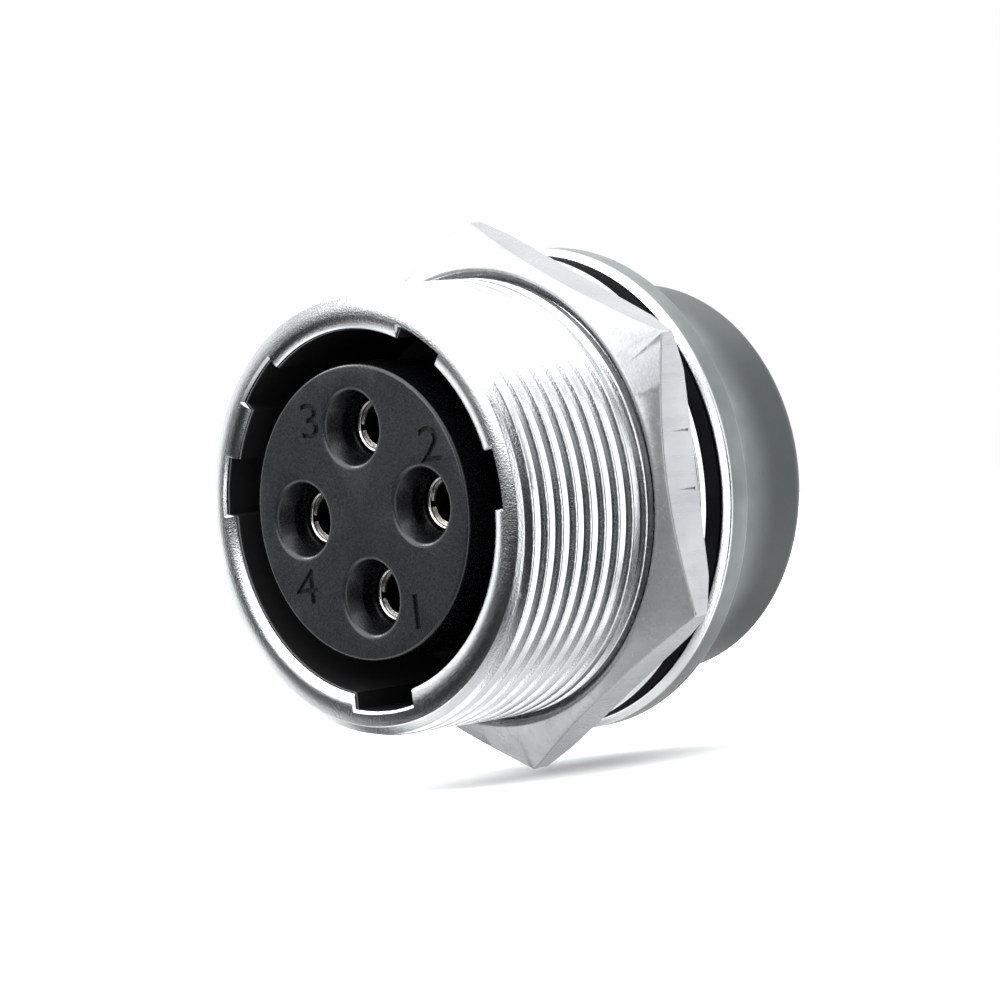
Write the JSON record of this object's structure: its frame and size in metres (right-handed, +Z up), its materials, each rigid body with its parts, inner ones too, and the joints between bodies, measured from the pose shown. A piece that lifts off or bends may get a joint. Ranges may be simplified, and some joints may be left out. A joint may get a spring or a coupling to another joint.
{
  "type": "waterproof panel socket",
  "caption": "Round waterproof panel socket: threaded metal shell with flange, gasket, washer and hexagon nut, and a keyed insulator holding recessed socket contacts.",
  "frame": {"origin": "on the connector's axis, in the plane of the flange's front face, which the gasket and then the panel lie against", "axes": "-Y along the axis towards the mating face and the plug, +Z up with the wide master keyway at -Z"},
  "size_m": [0.0244, 0.0242, 0.0278],
  "materials": {
    "plated_shell": "bright satin plating",
    "satin_nut": "satin plating",
    "washer_steel": "bright plated",
    "gasket_rubber": "matte",
    "seal_rubber": "matte",
    "insert_plastic": "fine matte moulding",
    "silvered_contact": "silver plated",
    "spring_steel": "bright"
  },
  "bodies": {
    "socket": {"shell": "plated_shell", "panel_gasket": "gasket_rubber", "contact_block": "insert_plastic", "face_seal": "seal_rubber", "block_o_ring": "seal_rubber", "wafer_seal": "seal_rubber", "rear_block": "insert_plastic", "thrust_washer": "spring_steel", "retaining_clip": "spring_steel", "contact_1": "silvered_contact", "contact_2": "silvered_contact", "contact_3": "silvered_contact", "contact_4": "silvered_contact", "contact_hood_1": "spring_steel", "contact_hood_2": "spring_steel", "contact_hood_3": "spring_steel", "contact_hood_4": "spring_steel"},
    "washer": {"flat_washer": "washer_steel"},
    "nut": {"panel_nut": "satin_nut"}
  },
  "joints": [
    {"name": "nut_travel", "type": "slide", "parent": "socket", "child": "washer", "axis": [0, -1, 0], "range_m": [0, 0.0085]},
    {"name": "nut_spin", "type": "hinge", "parent": "washer", "child": "nut", "pos_m": [0, 0, 0], "axis": [0, -1, 0], "range_deg": [0, 3060]}
  ],
  "couplings": [
    {"joint": "nut_travel", "follows": "nut_spin", "m_per_rad": 0.00015915}
  ]
}
